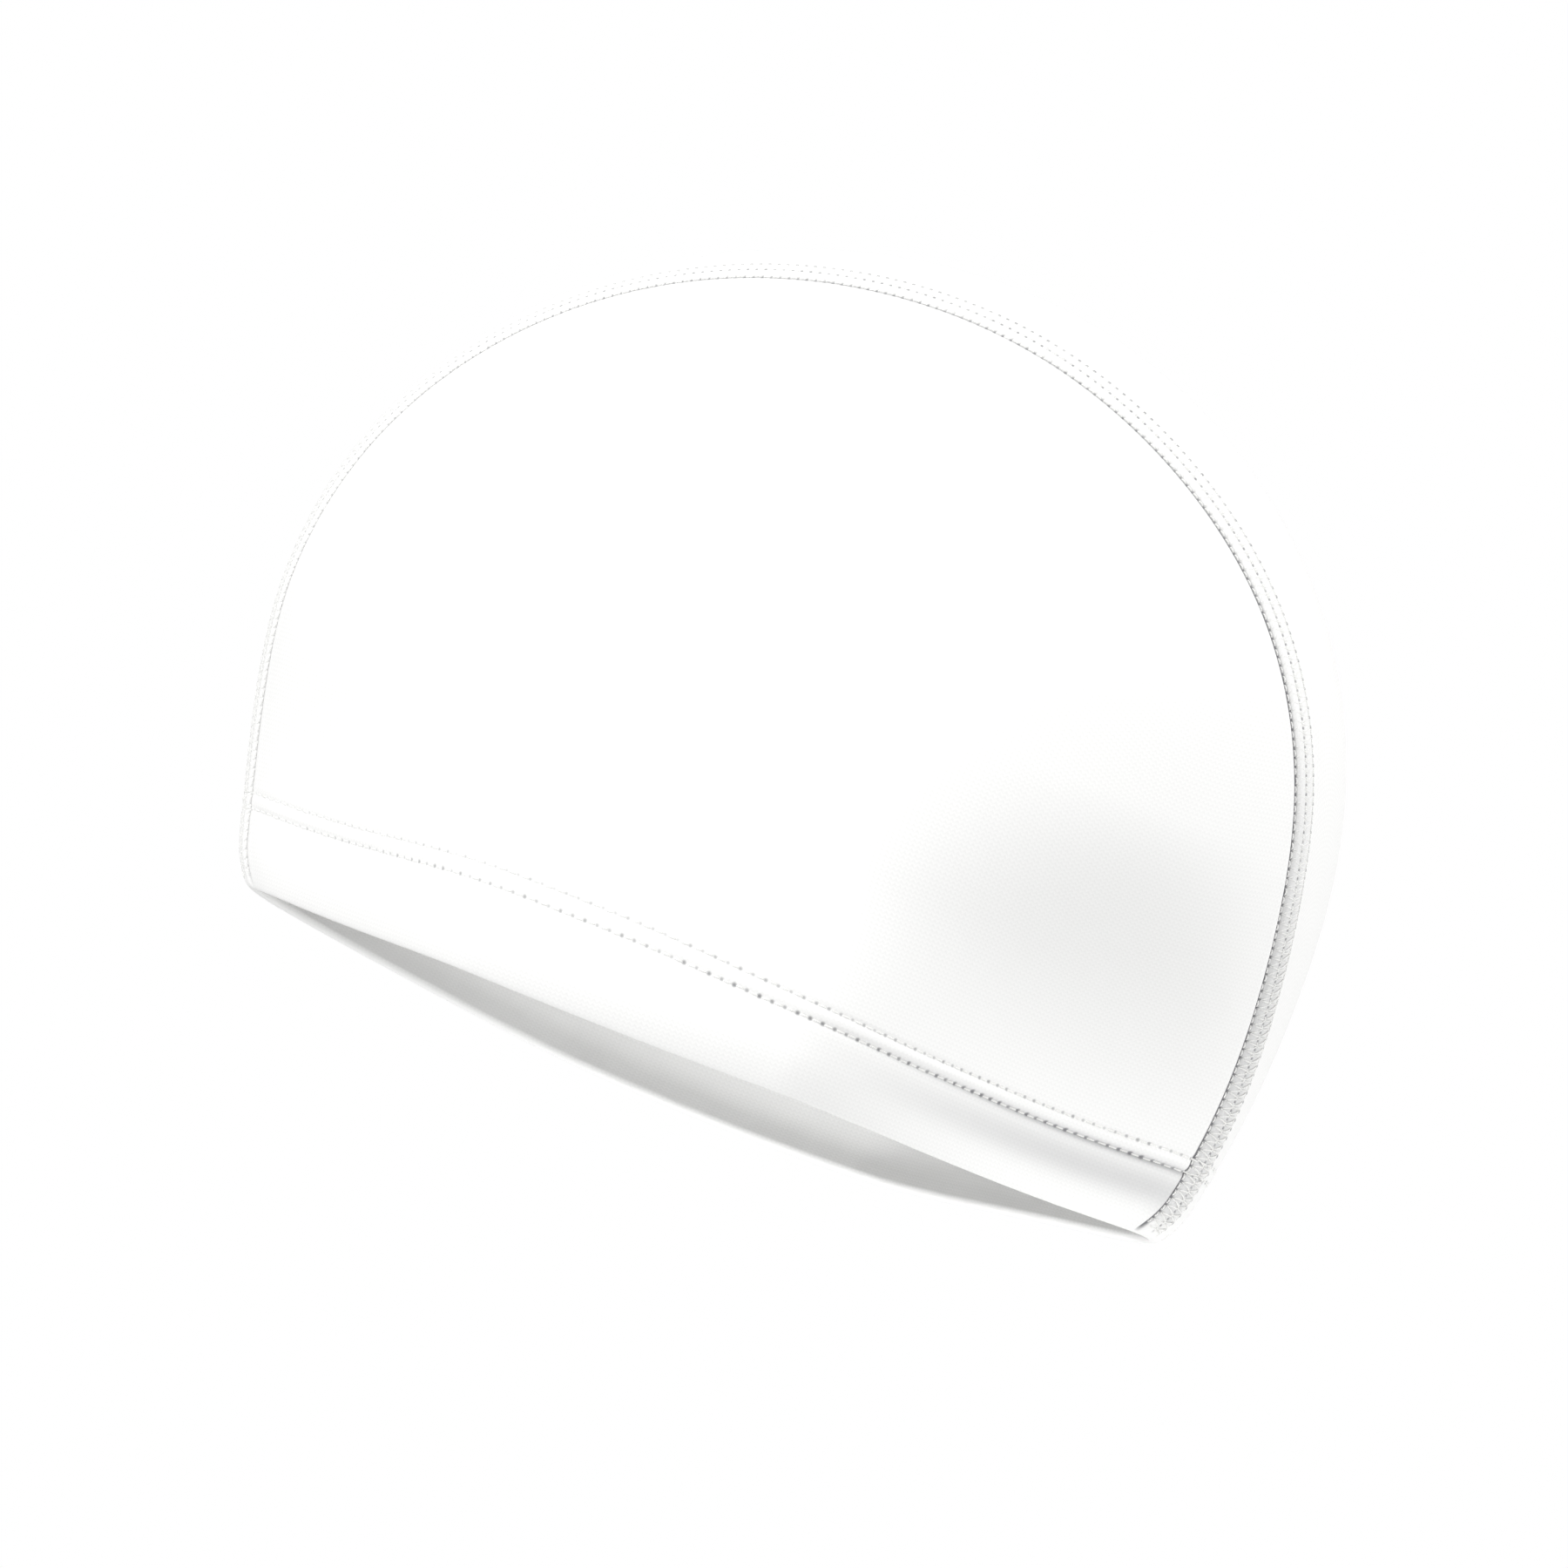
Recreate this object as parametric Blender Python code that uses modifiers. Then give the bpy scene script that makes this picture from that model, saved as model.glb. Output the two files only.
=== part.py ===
# Knitted swim cap, filled out as when worn: a leaf-shaped middle panel between two side panels.
# Metres, +Z up. The forehead faces -Y, the nape +Y, and the wearer's left is +X.
# The origin is the middle of the head opening.

import math
from collections import namedtuple

import bmesh
import bpy
from mathutils import Matrix, Vector

# Overall form, measured along and square to the plane of the opening
FORM_LENGTH = 0.222            # forehead bulge to back of head
CROWN_RISE = 0.098             # widest level to top of crown
EQUATOR_HEIGHT = 0.072         # opening to the widest level
FORM_WIDTH = 0.154             # ear to ear at the widest level
FORM_SETBACK = 0.0105          # centre of the form behind the middle of the opening
SIDE_SQUARENESS = 2.25         # 2 is an ellipse, more is boxier
OPENING_TILT = math.radians(22.0)   # forehead edge high, nape edge low

# Cloth
CLOTH_THICKNESS = 0.0012
HEM_THICKNESS = 0.0022         # two layers, the hem turned up inside
HEM_DEPTH = 0.0205             # turned-up cloth, edge to raw edge
HEM_STEP = 0.0015              # height over which the raw edge thins out
SEAM_GAP = 0.0004              # clearance between neighbouring panels

# Hem line
OPENING_SHARE = 0.86           # length of the opening as a share of the form's
HEM_DIP = 0.0048               # the hem hangs lower at the ears than at its ends
ROLL_HEIGHT = 0.009            # lowest stretch of the hem, which turns inwards
ROLL_INSET = 0.0025

# The opening is a pointed oval: wide at the ears and drawn in towards the forehead and the nape.
# Places along it are shares of half its length, heights are above the hem.
EAR_SPREAD = 0.11              # share of the width gained at the hem
SPREAD_HEIGHT = 0.045          # the gain has faded here
Draw = namedtuple("Draw", "share start full low high")   # drawn in fully up to low, not at all from high
BROW_DRAW = Draw(0.42, 0.35, 0.98, 0.008, 0.060)
NAPE_DRAW = Draw(0.62, 0.30, 0.98, 0.010, 0.075)

# Soft hollow behind each ear, above the hem
HOLLOW_DEPTH = 0.0015
HOLLOW_RADIUS = 0.030
HOLLOW_ALONG = 0.52            # share of half the form's length, behind its centre
HOLLOW_UP = 0.42               # share of the equator's height

# Sections round the side view, from the forehead over the crown to the nape and back below.
# reach: share of half the length and of the crown's rise; seam: share of half the width.
# The rows under the opening only set how the sides draw in towards the hem.
Section = namedtuple("Section", "angle reach seam")
SECTIONS = [
    Section(0, 1.120, 0.410),    # forehead
    Section(24, 1.080, 0.485),
    Section(48, 1.035, 0.535),
    Section(72, 1.005, 0.610),
    Section(96, 0.985, 0.655),   # crown
    Section(120, 0.930, 0.635),
    Section(144, 0.880, 0.550),
    Section(168, 0.855, 0.465),  # back of head
    Section(192, 0.875, 0.380),
    Section(216, 1.020, 0.315),  # nape
    Section(240, 1.285, 0.245),
    Section(264, 1.590, 0.205),  # below the opening
    Section(288, 1.660, 0.205),
    Section(312, 1.290, 0.245),
    Section(336, 1.135, 0.315),
]
SECTION_STEP = SECTIONS[1].angle - SECTIONS[0].angle

# Mesh density
HEM_ROWS = (0.0, 0.22, 0.44, 1.0)   # shares of the hem's depth
SEAM_ROWS = 16                 # rows from the hem to the crown, front and back alike
SIDE_COLUMNS = 28
CENTER_COLUMNS = 10
EDGE_EASE = 0.55               # how much closer columns lie near a seam
APEX_ANGLE = 98                # where the rows of a side panel meet at its top
CROSSING_STEPS = 40            # halvings in the search for a height

CLOTH_COLOR = (0.93, 0.93, 0.93, 1.0)
CLOTH_ROUGHNESS = 0.75


def spline(column, angle):
    """Smooth closed curve through the shares of one column of the table."""
    place = (angle % 360) / SECTION_STEP
    row = int(place)
    t = place - row
    weights = ((1 - t) ** 3, 3 * t ** 3 - 6 * t ** 2 + 4, -3 * t ** 3 + 3 * t ** 2 + 3 * t + 1, t ** 3)
    values = [getattr(SECTIONS[(row + k) % len(SECTIONS)], column) for k in (-1, 0, 1, 2)]
    return sum(w * v for w, v in zip(weights, values)) / 6


def seam_half_width(angle):
    return spline("seam", angle) * FORM_WIDTH / 2


def hem_height(along):
    """Height of the hem edge above the plane of the opening."""
    return -HEM_DIP * (1 - (2 * along / (OPENING_SHARE * FORM_LENGTH)) ** 2)


def form_point(angle, across):
    """Point of the plain form: across, along, up."""
    narrowing = abs(2 * across / FORM_WIDTH) ** SIDE_SQUARENESS
    reach = spline("reach", angle) * (1 - narrowing) ** (1 / SIDE_SQUARENESS)
    turn = math.radians(angle)
    along = FORM_SETBACK - reach * FORM_LENGTH / 2 * math.cos(turn)
    up = EQUATOR_HEIGHT + reach * CROWN_RISE * math.sin(turn)
    return Vector((across, along, up))


def side_point(along, up):
    """Point of the plain form on the left side, from its place in the side view."""
    east = (FORM_SETBACK - along) / (FORM_LENGTH / 2)
    north = (up - EQUATOR_HEIGHT) / CROWN_RISE
    angle = math.degrees(math.atan2(north, east))
    share = min(1.0, math.hypot(east, north) / spline("reach", angle))
    across = FORM_WIDTH / 2 * (1 - share ** SIDE_SQUARENESS) ** (1 / SIDE_SQUARENESS)
    return Vector((across, along, up))


def smooth(value, low, high):
    t = max(0.0, min(1.0, (value - low) / (high - low)))
    return t * t * (3 - 2 * t)


def width_share(along, up):
    """Width of the form near its opening, as a share of the plain form's."""
    above_hem = up - hem_height(along)
    place = 2 * along / (OPENING_SHARE * FORM_LENGTH)
    share = 1 + EAR_SPREAD * (1 - smooth(above_hem, 0, SPREAD_HEIGHT))
    for draw, toward in ((BROW_DRAW, -place), (NAPE_DRAW, place)):
        fade = 1 - smooth(above_hem, draw.low, draw.high)
        share -= draw.share * smooth(toward, draw.start, draw.full) * fade
    return share


def finished(point):
    """Draws in the opening, rolls the hem inwards, adds the hollow and tilts to the worn pose."""
    across, along, up = point
    above_hem = up - hem_height(along)
    across *= width_share(along, up)
    inset = ROLL_INSET * max(0.0, 1 - above_hem / ROLL_HEIGHT) ** 2
    pull = 1 - inset / math.hypot(across, along)
    hollow_along = FORM_SETBACK + HOLLOW_ALONG * FORM_LENGTH / 2
    distance = math.hypot(along - hollow_along, up - HOLLOW_UP * EQUATOR_HEIGHT)
    hollow = HOLLOW_DEPTH * math.exp(-(distance / HOLLOW_RADIUS) ** 2)
    side_share = 2 * across / FORM_WIDTH
    shaped = Vector((across * pull - hollow * side_share, along * pull, up))
    return Matrix.Rotation(-OPENING_TILT, 3, "X") @ shaped


def seam_line(angle, fraction, gap):
    """Distance across the plain form of a line at a fraction of the seam's half width.
    The finished line lies further out than that by gap."""
    half_width = seam_half_width(angle)
    point = form_point(angle, half_width)
    return fraction * half_width + gap / width_share(point.y, point.z)


def hem_crossing(fraction, gap, height, low, high):
    """Angle between low and high where a line along the seams is at a height above the hem."""
    for _ in range(CROSSING_STEPS):
        middle = (low + high) / 2
        point = form_point(middle, seam_line(middle, fraction, gap))
        if point.z - hem_height(point.y) < height:
            low = middle
        else:
            high = middle
    return (low + high) / 2


def front_crossing(fraction, gap, height):
    return hem_crossing(fraction, gap, height, -80, APEX_ANGLE)


def rear_crossing(fraction, gap, height):
    return hem_crossing(fraction, gap, height, 260, APEX_ANGLE)


def eased(share):
    """Spreads columns from 0 to 1, closer together near both ends."""
    return share - EDGE_EASE * math.sin(2 * math.pi * share) / (2 * math.pi)


def row_heights():
    """Heights of the rows over the turned-up hem, with one more where its raw edge has thinned out."""
    return [share * HEM_DEPTH for share in HEM_ROWS] + [HEM_DEPTH + HEM_STEP]


def side_rows(side):
    """Rows of points of a side panel, hem first, ending in one point at the crown."""
    gap = SEAM_GAP / 2
    shares = [eased(k / SIDE_COLUMNS) for k in range(SIDE_COLUMNS + 1)]
    rows = []

    def add_row(front, rear, fade):
        start = form_point(front, seam_line(front, 1, gap))
        end = form_point(rear, seam_line(rear, 1, gap))
        start.z -= fade * hem_height(start.y)
        end.z -= fade * hem_height(end.y)
        row = []
        for share in shares:
            along = start.y + share * (end.y - start.y)
            up = start.z + share * (end.z - start.z) + fade * hem_height(along)
            across, along, up = finished(side_point(along, up))
            row.append(Vector((side * across, along, up)))
        rows.append(row)

    for height in row_heights():
        add_row(front_crossing(1, gap, height), rear_crossing(1, gap, height), 1)
    front = front_crossing(1, gap, row_heights()[-1])
    rear = rear_crossing(1, gap, row_heights()[-1])
    for k in range(1, SEAM_ROWS):
        t = k / SEAM_ROWS
        add_row(front + t * (APEX_ANGLE - front), rear + t * (APEX_ANGLE - rear), 1 - t)
    top = finished(form_point(APEX_ANGLE, seam_line(APEX_ANGLE, 1, gap)))
    rows.append([Vector((side * top.x, top.y, top.z))])
    return rows


def center_rows():
    """Rows of points of the middle panel, from the forehead hem over the crown to the nape hem."""
    columns = []
    for k in range(CENTER_COLUMNS + 1):
        fraction = 2 * eased(k / CENTER_COLUMNS) - 1
        gap = -fraction * SEAM_GAP / 2
        fronts = [front_crossing(fraction, gap, height) for height in row_heights()]
        rears = [rear_crossing(fraction, gap, height) for height in row_heights()]
        rising = [fronts[-1] + i / SEAM_ROWS * (APEX_ANGLE - fronts[-1]) for i in range(1, SEAM_ROWS + 1)]
        falling = [rears[-1] + i / SEAM_ROWS * (APEX_ANGLE - rears[-1]) for i in range(1, SEAM_ROWS)]
        angles = fronts + rising + falling[::-1] + rears[::-1]
        columns.append([finished(form_point(a, seam_line(a, fraction, gap))) for a in angles])
    return [list(row) for row in zip(*columns)]


def thickness_weight(row_index, row_count, both_ends):
    """1 over the doubled hem, less over the single cloth."""
    from_end = min(row_index, row_count - 1 - row_index) if both_ends else row_index
    return 1.0 if from_end < len(HEM_ROWS) else CLOTH_THICKNESS / HEM_THICKNESS


def make_panel(name, rows, flip, both_ends, material, collection):
    """Open sheet through the rows, thickened inwards."""
    bm = bmesh.new()
    weights = []
    grid = []
    for index, row in enumerate(rows):
        grid.append([bm.verts.new(point) for point in row])
        weights += [thickness_weight(index, len(rows), both_ends)] * len(row)
    for lower, upper in zip(grid, grid[1:]):
        for k in range(len(lower) - 1):
            corners = [lower[k], lower[k + 1]]
            corners += [upper[k + 1], upper[k]] if len(upper) > 1 else [upper[0]]
            bm.faces.new(corners[::-1] if flip else corners)
    mesh = bpy.data.meshes.new(name)
    bm.to_mesh(mesh)
    bm.free()
    mesh.shade_smooth()
    mesh.set_sharp_from_angle(angle=math.radians(50))
    mesh.materials.append(material)
    panel = bpy.data.objects.new(name, mesh)
    group = panel.vertex_groups.new(name="layers")
    for index, weight in enumerate(weights):
        group.add([index], weight, "REPLACE")
    solidify = panel.modifiers.new("cloth", "SOLIDIFY")
    solidify.thickness = HEM_THICKNESS
    solidify.offset = -1
    solidify.vertex_group = group.name
    solidify.thickness_vertex_group = 0
    collection.objects.link(panel)
    return panel


def cloth_material(name):
    material = bpy.data.materials.new(name)
    material.use_nodes = True
    surface = material.node_tree.nodes["Principled BSDF"]
    surface.inputs["Base Color"].default_value = CLOTH_COLOR
    surface.inputs["Roughness"].default_value = CLOTH_ROUGHNESS
    surface.inputs["Metallic"].default_value = 0.0
    return material


def build():
    for item in list(bpy.data.objects):
        bpy.data.objects.remove(item, do_unlink=True)
    collection = bpy.data.collections.new("swim_cap")
    bpy.context.scene.collection.children.link(collection)
    make_panel("left_panel", side_rows(1), False, False, cloth_material("left_cloth"), collection)
    make_panel("right_panel", side_rows(-1), True, False, cloth_material("right_cloth"), collection)
    make_panel("center_panel", center_rows(), False, True, cloth_material("center_cloth"), collection)


build()
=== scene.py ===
import math
from collections import namedtuple

import bpy
import numpy as np
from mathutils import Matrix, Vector
from mathutils.kdtree import KDTree


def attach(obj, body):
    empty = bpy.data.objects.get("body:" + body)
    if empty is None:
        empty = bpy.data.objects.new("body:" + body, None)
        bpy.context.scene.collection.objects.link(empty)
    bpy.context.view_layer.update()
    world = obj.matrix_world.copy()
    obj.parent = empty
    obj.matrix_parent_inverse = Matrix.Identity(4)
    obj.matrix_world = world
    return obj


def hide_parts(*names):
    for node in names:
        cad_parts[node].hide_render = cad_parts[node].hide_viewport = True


# Knitted swim cap, filled out as when worn: two side panels sewn to a leaf-shaped middle panel.
# Lengths are in metres and angles in degrees, unless a note says otherwise.

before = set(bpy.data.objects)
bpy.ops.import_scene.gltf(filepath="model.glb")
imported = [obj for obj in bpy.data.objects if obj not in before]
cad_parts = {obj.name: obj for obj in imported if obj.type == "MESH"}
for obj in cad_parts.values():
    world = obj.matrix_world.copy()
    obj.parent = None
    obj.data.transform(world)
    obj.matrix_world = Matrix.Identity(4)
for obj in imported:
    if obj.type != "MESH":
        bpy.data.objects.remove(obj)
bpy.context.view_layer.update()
mm = 0.001


# long lens from the wearer's left, a little below and behind, so that the far hem shows under the near one
cameraView = {
    "azimuth": 96.3,
    "elevation": -10.0,
    "target": (0.0, 0.0189, 0.0569),
    "distance": 1.18125,
    "lens": 135.0,             # mm, on a 36 mm sensor
}


def addObject(name, data):
    item = bpy.data.objects.new(name, data)
    bpy.context.scene.collection.objects.link(item)
    return item


def makeCamera():
    turn = math.radians(cameraView["azimuth"])
    rise = math.radians(cameraView["elevation"])
    back = Vector((math.cos(rise) * math.sin(turn), -math.cos(rise) * math.cos(turn), math.sin(rise)))
    data = bpy.data.cameras.new("photoCamera")
    data.lens = cameraView["lens"]
    data.sensor_width = 36.0
    data.clip_start = 0.01
    camera = addObject("photoCamera", data)
    camera.location = Vector(cameraView["target"]) + cameraView["distance"] * back
    camera.rotation_euler = back.to_track_quat("Z", "Y").to_euler()
    bpy.context.scene.camera = camera


makeCamera()
print("camera set")


# the worn form, measured along and square to the plane of the opening
wornForm = {
    "length": 0.222,           # forehead bulge to back of head
    "crownRise": 0.098,        # widest level to top of crown
    "equatorHeight": 0.072,    # opening to the widest level
    "width": 0.154,            # ear to ear
    "setback": 0.0105,         # centre of the form behind the middle of the opening
    "squareness": 2.25,        # 2 is an ellipse, more is boxier
    "openingTilt": 22.0,       # forehead edge high, nape edge low
    "openingShare": 0.86,      # length of the opening as a share of the form's
    "hemDip": 0.0048,          # the hem hangs lower at the ears than at its ends
    "rollHeight": 0.009,       # lowest stretch of the hem, which turns inwards
    "rollInset": 0.0025,
    "earSpread": 0.11,         # share of the width gained at the hem
    "spreadHeight": 0.045,     # height above the hem where the gain has faded
    "hollowDepth": 0.0034,     # soft hollow behind each ear, deeper here than on the plain form
    "hollowRadius": 0.020,
    "hollowAlong": 0.60,       # share of half the length, behind the form's centre
    "hollowUp": 0.33,          # share of the widest level's height
    "apexAngle": 98.0,         # where the rows of a side panel meet at its top
}

# the opening is drawn in towards the forehead and the nape, by this share of the width
# start and full: where that starts and is whole, as shares of half the opening's length
# low and high: heights above the hem up to which it is whole, and where it ends
Draw = namedtuple("Draw", "toward share start full low high")
draws = [
    Draw(-1, 0.42, 0.35, 0.98, 0.008, 0.060),     # forehead
    Draw(1, 0.62, 0.30, 0.98, 0.010, 0.075),      # nape
]

# round the side view, from the forehead over the crown to the nape and back below the opening
# reach: share of half the length and of the crown's rise; seam: share of half the width
Section = namedtuple("Section", "angle reach seam")
sections = [
    Section(0, 1.120, 0.410),     # forehead
    Section(24, 1.080, 0.485),
    Section(48, 1.035, 0.535),
    Section(72, 1.005, 0.610),
    Section(96, 0.985, 0.655),    # crown
    Section(120, 0.930, 0.635),
    Section(144, 0.880, 0.550),
    Section(168, 0.855, 0.465),   # back of head
    Section(192, 0.875, 0.380),
    Section(216, 1.020, 0.315),   # nape
    Section(240, 1.285, 0.245),
    Section(264, 1.590, 0.205),   # below the opening
    Section(288, 1.660, 0.205),
    Section(312, 1.290, 0.245),
    Section(336, 1.135, 0.315),
]


def splineAt(column, angle):
    # smooth closed curve through one column of the table
    values = np.array([getattr(section, column) for section in sections])
    place = np.mod(angle, 360) / (360 / len(sections))
    row = np.floor(place).astype(int)
    t = place - row
    weights = ((1 - t) ** 3, 3 * t ** 3 - 6 * t ** 2 + 4, -3 * t ** 3 + 3 * t ** 2 + 3 * t + 1, t ** 3)
    return sum(w * values[(row + k) % len(values)] for w, k in zip(weights, (-1, 0, 1, 2))) / 6


def seamHalfWidth(angle):
    return splineAt("seam", angle) * wornForm["width"] / 2


def hemEdgeHeight(along):
    return -wornForm["hemDip"] * (1 - (2 * along / (wornForm["openingShare"] * wornForm["length"])) ** 2)


def formPoint(angle, across):
    # plain form by angle round the side view and distance from the middle: across, along, up
    squareness = wornForm["squareness"]
    narrowing = np.abs(2 * across / wornForm["width"]) ** squareness
    reach = splineAt("reach", angle) * (1 - narrowing) ** (1 / squareness)
    turn = np.radians(angle)
    along = wornForm["setback"] - reach * wornForm["length"] / 2 * np.cos(turn)
    up = wornForm["equatorHeight"] + reach * wornForm["crownRise"] * np.sin(turn)
    return np.stack(np.broadcast_arrays(across, along, up), -1)


def sidePoint(along, up):
    # plain form on the left side, from its place in the side view
    squareness = wornForm["squareness"]
    east = (wornForm["setback"] - along) / (wornForm["length"] / 2)
    north = (up - wornForm["equatorHeight"]) / wornForm["crownRise"]
    share = np.minimum(1, np.hypot(east, north) / splineAt("reach", np.degrees(np.arctan2(north, east))))
    across = wornForm["width"] / 2 * (1 - share ** squareness) ** (1 / squareness)
    return np.stack(np.broadcast_arrays(across, along, up), -1)


def smooth(value, low, high):
    t = np.clip((value - low) / (high - low), 0, 1)
    return t * t * (3 - 2 * t)


def widthShare(along, up):
    # width near the opening, as a share of the plain form's
    aboveHem = up - hemEdgeHeight(along)
    place = 2 * along / (wornForm["openingShare"] * wornForm["length"])
    share = 1 + wornForm["earSpread"] * (1 - smooth(aboveHem, 0, wornForm["spreadHeight"]))
    for draw in draws:
        fade = 1 - smooth(aboveHem, draw.low, draw.high)
        share = share - draw.share * smooth(draw.toward * place, draw.start, draw.full) * fade
    return share


def wornPoint(point):
    # draws in the opening, rolls the hem inwards, adds the hollow and tilts the point to the worn pose
    across, along, up = np.moveaxis(point, -1, 0)
    aboveHem = up - hemEdgeHeight(along)
    across = across * widthShare(along, up)
    inset = wornForm["rollInset"] * np.maximum(0, 1 - aboveHem / wornForm["rollHeight"]) ** 2
    pull = 1 - inset / np.hypot(across, along)
    hollowAlong = wornForm["setback"] + wornForm["hollowAlong"] * wornForm["length"] / 2
    hollowUp = wornForm["hollowUp"] * wornForm["equatorHeight"]
    distance = np.hypot(along - hollowAlong, up - hollowUp)
    hollow = wornForm["hollowDepth"] * np.exp(-(distance / wornForm["hollowRadius"]) ** 2)
    x = across * pull - hollow * 2 * across / wornForm["width"]
    y = along * pull
    tilt = math.radians(wornForm["openingTilt"])
    back = y * math.cos(tilt) + up * math.sin(tilt)
    rise = up * math.cos(tilt) - y * math.sin(tilt)
    return np.stack((x, back, rise), -1)


def bandShare(along):
    # the hem looks narrower towards its ends, where its cloth leans in
    towardBrow = 0.165 * smooth(-along, 0.025, 0.100)
    towardNape = 0.17 * smooth(along, -0.015, 0.055)
    return 1 - towardBrow - towardNape


def aboveHem(point):
    # height above the hem, as on the unworn cap
    return (point[..., 2] - hemEdgeHeight(point[..., 1])) / bandShare(point[..., 1])


def unit(vectors):
    return vectors / np.linalg.norm(vectors, axis=-1, keepdims=True)


def sideSurface(along, up):
    # point and outward direction on the left panel
    step = 0.00002
    alongWay = wornPoint(sidePoint(along + step, up)) - wornPoint(sidePoint(along - step, up))
    upWay = wornPoint(sidePoint(along, up + step)) - wornPoint(sidePoint(along, up - step))
    return wornPoint(sidePoint(along, up)), unit(np.cross(alongWay, upWay))


def centerWays(angle, across):
    # how the middle panel's point moves with a degree of angle and with a metre across
    turnStep = 0.02
    step = 0.00002
    turnWay = wornPoint(formPoint(angle + turnStep, across)) - wornPoint(formPoint(angle - turnStep, across))
    acrossWay = wornPoint(formPoint(angle, across + step)) - wornPoint(formPoint(angle, across - step))
    return turnWay / (2 * turnStep), acrossWay / (2 * step)


def centerSurface(angle, across):
    turnWay, acrossWay = centerWays(angle, across)
    return wornPoint(formPoint(angle, across)), unit(np.cross(acrossWay, turnWay))


def crossingAngle(acrossAt, height, below):
    # angle between one below the hem and the apex, where a line reaches a height above the hem
    low = np.full(np.shape(height), float(below))
    high = np.full(np.shape(height), wornForm["apexAngle"])
    for _ in range(36):
        middle = (low + high) / 2
        under = aboveHem(formPoint(middle, acrossAt(middle))) < height
        low = np.where(under, middle, low)
        high = np.where(under, high, middle)
    return (low + high) / 2


# angles under the opening, where the searches for a height start
frontBelow = -80
rearBelow = 260


# walls and mesh of the cloth
cloth = {
    "thickness": 1.2 * mm,
    "hemThickness": 2.2 * mm,     # two layers, the hem turned up inside
    "rawEdge": 22.0 * mm,         # height of the raw edge inside
    "bandTop": 24.0 * mm,         # rows follow the hem up to here
    "seamGap": 0.08 * mm,
    "sideColumns": 290,
    "seamRows": 150,              # rows from the band to the crown, front and back alike
    "edgeEase": 0.55,             # how much closer columns lie near a seam
    "foldRows": 5,
    "innerStep": 4,               # rows of the outside for each row of the inside
    "sharpAngle": 55,
    "creaseShade": 0.45,          # how dark the painted shade in the crease under the tunnel gets at the nape
    "creaseWidth": 0.9 * mm,
    "bandShade": 0.75,            # and the painted shade on the band below it, as a share of that
    "bandShadeHeight": 11.5 * mm,
    "bandShadeWidth": 4.5 * mm,
}


def sideEdge(angle):
    # where the left panel ends at its seam, as a distance from the middle
    return seamHalfWidth(angle) + cloth["seamGap"] / 2


def centerEdge(angle):
    return seamHalfWidth(angle) - cloth["seamGap"] / 2


# flatlock seam: three needle rows on the middle panel, the first in the ditch between the panels
flatlock = {
    "rowSpacing": 3.1 * mm,
    "rows": 3,
    "pitch": 1.8 * mm,
    "rise": 0.38 * mm,            # the seam lies proud of the cloth
    "width": 7.0 * mm,
    "ditchDepth": 0.60 * mm,
    "ditchFront": 0.35,           # share of that depth in front of the back of the head
    "ditchWidth": 0.75 * mm,
    "rowGroove": 0.16 * mm,
    "rowGrooveWidth": 0.5 * mm,
    "edgeRoll": 0.14 * mm,        # the side panel swells just beside the ditch
    "edgeRollPlace": 1.9 * mm,
    "edgeRollWidth": 1.0 * mm,
}

# coverstitched hem: two needle rows with a soft tunnel between them
hem = {
    "lowerRow": 17.5 * mm,
    "upperRow": 21.0 * mm,
    "pitch": 2.6 * mm,
    "groove": 0.30 * mm,          # at each needle row
    "grooveWidth": 0.65 * mm,
    "tunnelRise": 0.50 * mm,
    "tunnelWidth": 1.15 * mm,
    "bandRise": 0.12 * mm,
    "underRow": 0.35 * mm,        # the lower row bites deeper towards the nape
    "underRowWidth": 0.7 * mm,
    "bandSag": 1.9 * mm,          # under the tunnel the band sinks in towards the nape
    "sagHeight": 7.5 * mm,
    "sagWidth": 5.5 * mm,
}
hemMiddle = (hem["lowerRow"] + hem["upperRow"]) / 2


def lineThrough(points):
    # running length along a line of points
    steps = np.linalg.norm(np.diff(points, axis=0), axis=1)
    return np.concatenate(([0], np.cumsum(steps)))


def makeSeamLine():
    ends = [crossingAngle(seamHalfWidth, np.zeros(1), below)[0] for below in (frontBelow, rearBelow)]
    angle = np.linspace(ends[0], ends[1], 4000)
    point = wornPoint(formPoint(angle, seamHalfWidth(angle)))
    tree = KDTree(len(point))
    for k, place in enumerate(point):
        tree.insert(place, k)
    tree.balance()
    return {
        "angle": angle,
        "point": point,
        "run": lineThrough(point),
        "way": unit(np.gradient(point, axis=0)),
        "tree": tree,
    }


seamLine = makeSeamLine()
seamLength = seamLine["run"][-1]
seamStitches = round(seamLength / flatlock["pitch"])
seamPitch = seamLength / seamStitches


def placeBySeam(points):
    # distance from the nearer seam, and how far along it from the forehead; worked out on the left
    flat = (np.abs(points) * (1, 0, 0) + points * (0, 1, 1)).reshape(-1, 3)
    nearest = np.array([seamLine["tree"].find(point)[1] for point in flat])
    offset = flat - seamLine["point"][nearest]
    way = seamLine["way"][nearest]
    further = (offset * way).sum(-1)
    distance = np.linalg.norm(offset - further[:, None] * way, axis=-1)
    run = seamLine["run"][nearest] + further
    return distance.reshape(points.shape[:-1]), run.reshape(points.shape[:-1])


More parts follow.
